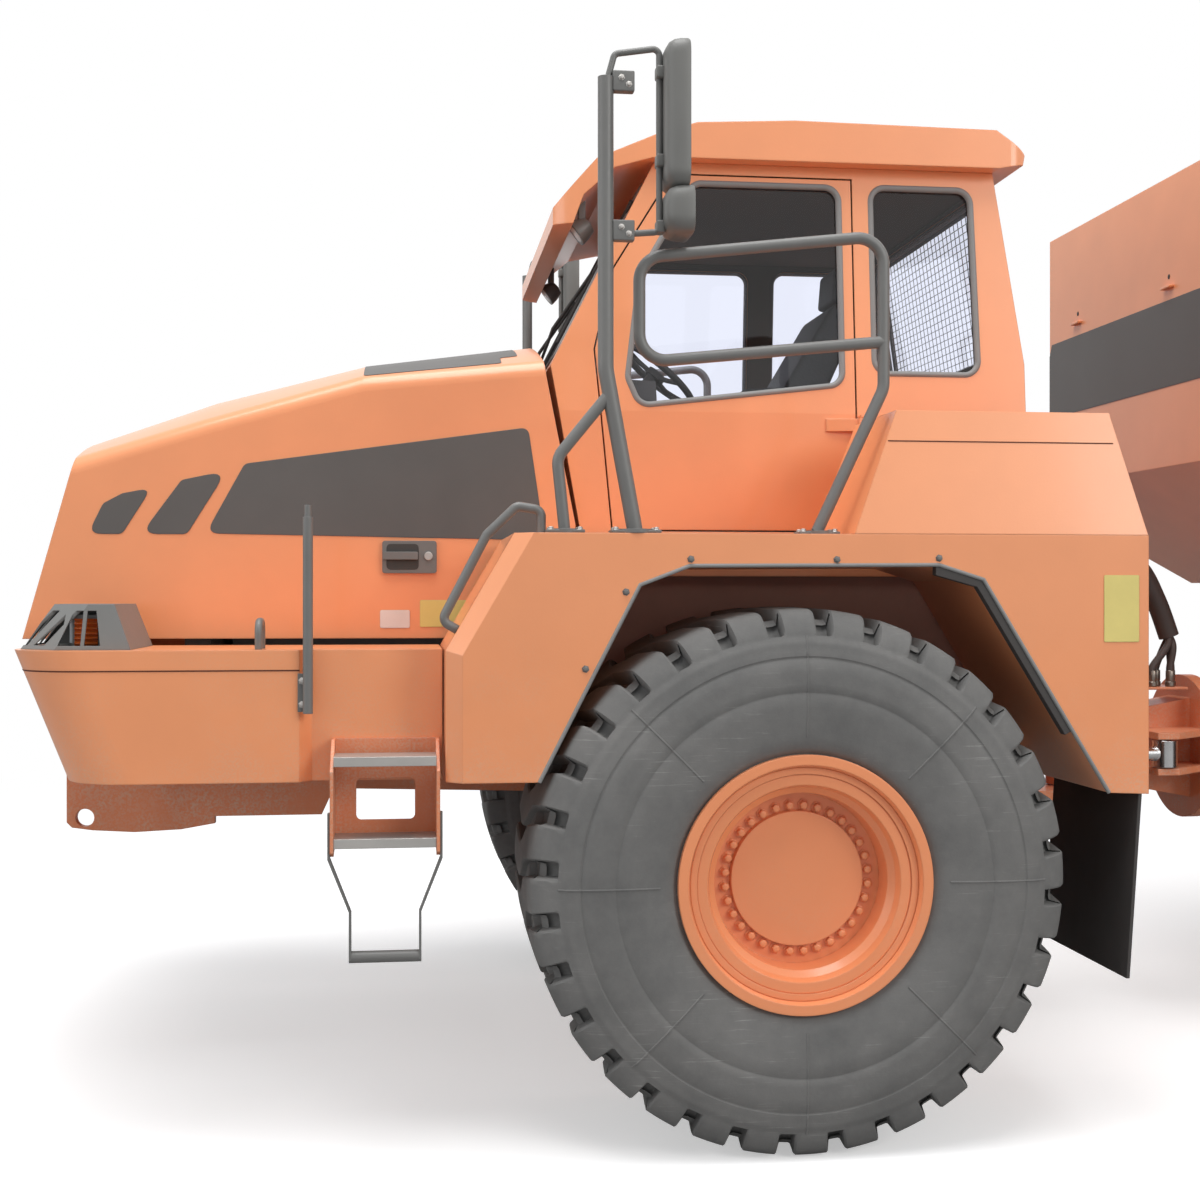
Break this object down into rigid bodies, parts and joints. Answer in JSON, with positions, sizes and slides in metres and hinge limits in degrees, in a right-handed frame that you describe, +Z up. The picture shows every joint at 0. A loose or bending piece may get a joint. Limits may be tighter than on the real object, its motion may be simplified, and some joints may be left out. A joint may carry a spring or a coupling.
{
  "type": "articulated dump truck",
  "caption": "Articulated dump truck: a cab unit and a six-wheel tipping rear unit joined by a steering and rolling hitch, with tilting hood, opening door and hydraulic cylinders.",
  "frame": {"origin": "on the ground, at the middle of the overall length and width", "axes": "+X rearwards along the truck with the nose at -X, +Y to the truck's right, +Z up"},
  "size_m": [10.9499, 3.6212, 3.8048],
  "materials": {
    "orange_paint": "semi-gloss orange paint",
    "frame_paint": "semi-gloss orange paint over plate",
    "rim_paint": "semi-gloss orange paint",
    "tyre_rubber": "dusty moulded tyre rubber",
    "grey_coating": "satin grey powder coating",
    "mirror_plastic": "moulded grey plastic",
    "tread_aluminium": "extruded aluminium",
    "flap_rubber": "black sheet rubber",
    "glass": "clear safety glass",
    "seat_cover": "dark woven seat fabric",
    "cab_plastic": "grained dark plastic",
    "engine_iron": "painted cast iron",
    "cylinder_barrel": "satin grey paint",
    "cylinder_chrome": "hard chrome"
  },
  "bodies": {
    "front_unit": {"tractor_frame": "frame_paint", "front_axle": "frame_paint", "bumper": "orange_paint", "tow_plates": "frame_paint", "headlights": "grey_coating", "engine": "engine_iron", "hood_hinges": "grey_coating", "fender_left": "orange_paint", "fender_right": "orange_paint", "side_box_left": "orange_paint", "side_box_right": "orange_paint", "mud_flaps": "flap_rubber", "ladder": "frame_paint", "ladder_treads": "tread_aluminium", "ladder_stirrup": "grey_coating", "handrails": "grey_coating", "grab_rails": "grey_coating", "mirror_posts": "grey_coating", "mirrors": "mirror_plastic", "cab_shell": "orange_paint", "side_glass": "glass", "windscreen": "glass", "rear_glass": "glass", "cab_roof": "orange_paint", "seat": "seat_cover", "steering_wheel": "cab_plastic", "dashboard": "cab_plastic"},
    "hood": {"hood": "orange_paint", "grille": "grey_coating"},
    "door": {"door": "orange_paint", "door_glass": "glass"},
    "hitch": {"hitch": "frame_paint"},
    "rear_unit": {"rear_frame": "frame_paint", "rear_axle": "frame_paint", "bogie_beams": "frame_paint"},
    "bed": {"bed": "orange_paint", "bed_ribs": "orange_paint"},
    "wheel_front_left": {"rim_front_left": "rim_paint", "tyre_front_left": "tyre_rubber"},
    "wheel_front_right": {"rim_front_right": "rim_paint", "tyre_front_right": "tyre_rubber"},
    "wheel_mid_left": {"rim_mid_left": "rim_paint", "tyre_mid_left": "tyre_rubber"},
    "wheel_mid_right": {"rim_mid_right": "rim_paint", "tyre_mid_right": "tyre_rubber"},
    "wheel_rear_left": {"rim_rear_left": "rim_paint", "tyre_rear_left": "tyre_rubber"},
    "wheel_rear_right": {"rim_rear_right": "rim_paint", "tyre_rear_right": "tyre_rubber"},
    "tip_barrel_left": {"tip_barrel_left": "cylinder_barrel"},
    "tip_rod_left": {"tip_rod_left": "cylinder_chrome"},
    "steer_barrel_left": {"steer_barrel_left": "cylinder_barrel"},
    "steer_rod_left": {"steer_rod_left": "cylinder_chrome"},
    "tip_barrel_right": {"tip_barrel_right": "cylinder_barrel"},
    "tip_rod_right": {"tip_rod_right": "cylinder_chrome"},
    "steer_barrel_right": {"steer_barrel_right": "cylinder_barrel"},
    "steer_rod_right": {"steer_rod_right": "cylinder_chrome"}
  },
  "joints": [
    {"name": "steer", "type": "hinge", "parent": "front_unit", "child": "hitch", "pos_m": [-0.955, 0, 1.22], "axis": [0, 0, 1], "range_deg": [-45, 45]},
    {"name": "roll", "type": "hinge", "parent": "hitch", "child": "rear_unit", "pos_m": [-0.215, 0, 1.22], "axis": [1, 0, 0], "range_deg": [-15, 15]},
    {"name": "tip", "type": "hinge", "parent": "rear_unit", "child": "bed", "pos_m": [4.325, 0, 1.62], "axis": [0, 1, 0], "range_deg": [0, 70]},
    {"name": "hood_tilt", "type": "hinge", "parent": "front_unit", "child": "hood", "pos_m": [-5.39, 0, 1.778], "axis": [0, -1, 0], "range_deg": [0, 60]},
    {"name": "door_swing", "type": "hinge", "parent": "front_unit", "child": "door", "pos_m": [-2.235, -0.962, 2.26], "axis": [0, 0, 1], "range_deg": [0, 36]},
    {"name": "front_left_spin", "type": "hinge", "parent": "front_unit", "child": "wheel_front_left", "pos_m": [-2.675, -1.375, 0.9375], "axis": [0, 1, 0], "continuous": true},
    {"name": "front_right_spin", "type": "hinge", "parent": "front_unit", "child": "wheel_front_right", "pos_m": [-2.675, 1.375, 0.9375], "axis": [0, 1, 0], "continuous": true},
    {"name": "mid_left_spin", "type": "hinge", "parent": "rear_unit", "child": "wheel_mid_left", "pos_m": [1.875, -1.375, 0.9375], "axis": [0, 1, 0], "continuous": true},
    {"name": "mid_right_spin", "type": "hinge", "parent": "rear_unit", "child": "wheel_mid_right", "pos_m": [1.875, 1.375, 0.9375], "axis": [0, 1, 0], "continuous": true},
    {"name": "rear_left_spin", "type": "hinge", "parent": "rear_unit", "child": "wheel_rear_left", "pos_m": [3.855, -1.375, 0.9375], "axis": [0, 1, 0], "continuous": true},
    {"name": "rear_right_spin", "type": "hinge", "parent": "rear_unit", "child": "wheel_rear_right", "pos_m": [3.855, 1.375, 0.9375], "axis": [0, 1, 0], "continuous": true},
    {"name": "tip_foot_left", "type": "hinge", "parent": "rear_unit", "child": "tip_barrel_left", "pos_m": [0.725, -0.56, 1], "axis": [0, 1, 0], "range_deg": [-7.43, 0]},
    {"name": "tip_ram_left", "type": "slide", "parent": "tip_barrel_left", "child": "tip_rod_left", "axis": [0.9494, 0, 0.314], "range_m": [0, 1.1175]},
    {"name": "steer_foot_left", "type": "hinge", "parent": "front_unit", "child": "steer_barrel_left", "pos_m": [-1.955, -0.6, 1.22], "axis": [0, 0, 1], "range_deg": [-6.54, 6.54]},
    {"name": "steer_ram_left", "type": "slide", "parent": "steer_barrel_left", "child": "steer_rod_left", "axis": [0.9826, 0.1857, 0], "range_m": [-0.3094, 0.3094]},
    {"name": "tip_foot_right", "type": "hinge", "parent": "rear_unit", "child": "tip_barrel_right", "pos_m": [0.725, 0.56, 1], "axis": [0, 1, 0], "range_deg": [-7.43, 0]},
    {"name": "tip_ram_right", "type": "slide", "parent": "tip_barrel_right", "child": "tip_rod_right", "axis": [0.9494, 0, 0.314], "range_m": [0, 1.1175]},
    {"name": "steer_foot_right", "type": "hinge", "parent": "front_unit", "child": "steer_barrel_right", "pos_m": [-1.955, 0.6, 1.22], "axis": [0, 0, 1], "range_deg": [-6.54, 6.54]},
    {"name": "steer_ram_right", "type": "slide", "parent": "steer_barrel_right", "child": "steer_rod_right", "axis": [0.9826, -0.1857, 0], "range_m": [-0.3094, 0.3094]}
  ],
  "couplings": [
    {"joint": "tip_foot_left", "follows": "tip", "ratio": -0.09903},
    {"joint": "tip_ram_left", "follows": "tip", "m_per_rad": 0.91057},
    {"joint": "steer_foot_left", "follows": "steer", "ratio": 0.13424},
    {"joint": "steer_ram_left", "follows": "steer", "m_per_rad": 0.38764},
    {"joint": "tip_foot_right", "follows": "tip", "ratio": -0.09903},
    {"joint": "tip_ram_right", "follows": "tip", "m_per_rad": 0.91057},
    {"joint": "steer_foot_right", "follows": "steer", "ratio": 0.13424},
    {"joint": "steer_ram_right", "follows": "steer", "m_per_rad": -0.38764}
  ]
}
